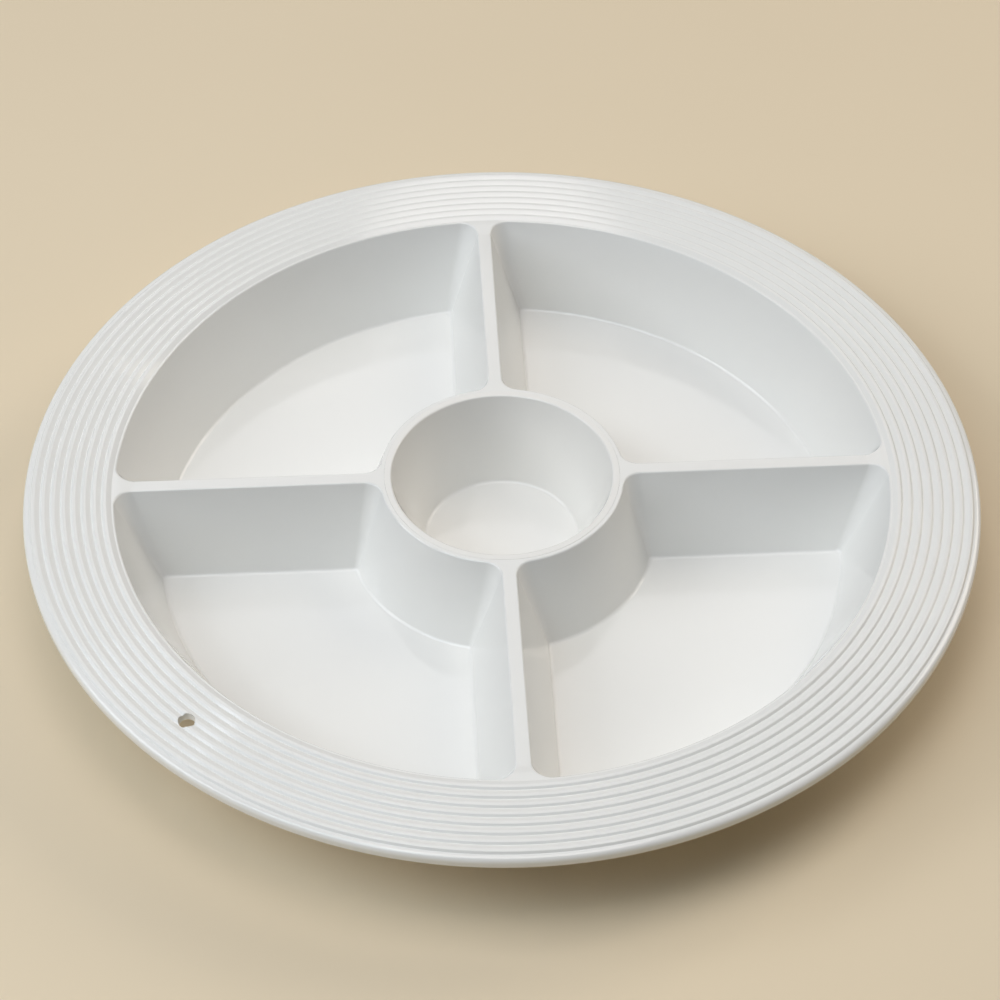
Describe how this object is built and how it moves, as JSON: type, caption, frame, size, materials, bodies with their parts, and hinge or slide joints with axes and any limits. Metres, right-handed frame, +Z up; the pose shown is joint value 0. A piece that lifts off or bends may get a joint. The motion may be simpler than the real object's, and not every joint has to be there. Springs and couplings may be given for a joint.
{
  "type": "divided serving tray",
  "caption": "Round white serving tray with a ribbed rim, deep drafted wells split by narrow dividers, and a loose dip cup that lifts out of the ring in the middle.",
  "frame": {"origin": "centre of the tray, on the table plane under its foot ridges", "axes": "+Z up; the dividers run along X and Y; -Y is the side nearest the viewer in the picture; the hang hole is on the diagonal between -X and -Y"},
  "size_m": [0.36, 0.36, 0.0425],
  "materials": {
    "tray_plastic": "white satin moulded plastic",
    "cup_plastic": "white satin moulded plastic"
  },
  "bodies": {
    "tray": {"tray_body": "tray_plastic"},
    "cup": {"dip_cup": "cup_plastic"}
  },
  "joints": [
    {"name": "cup_lift", "type": "slide", "parent": "tray", "child": "cup", "axis": [0, 0, 1], "range_m": [0, 0.06]}
  ]
}
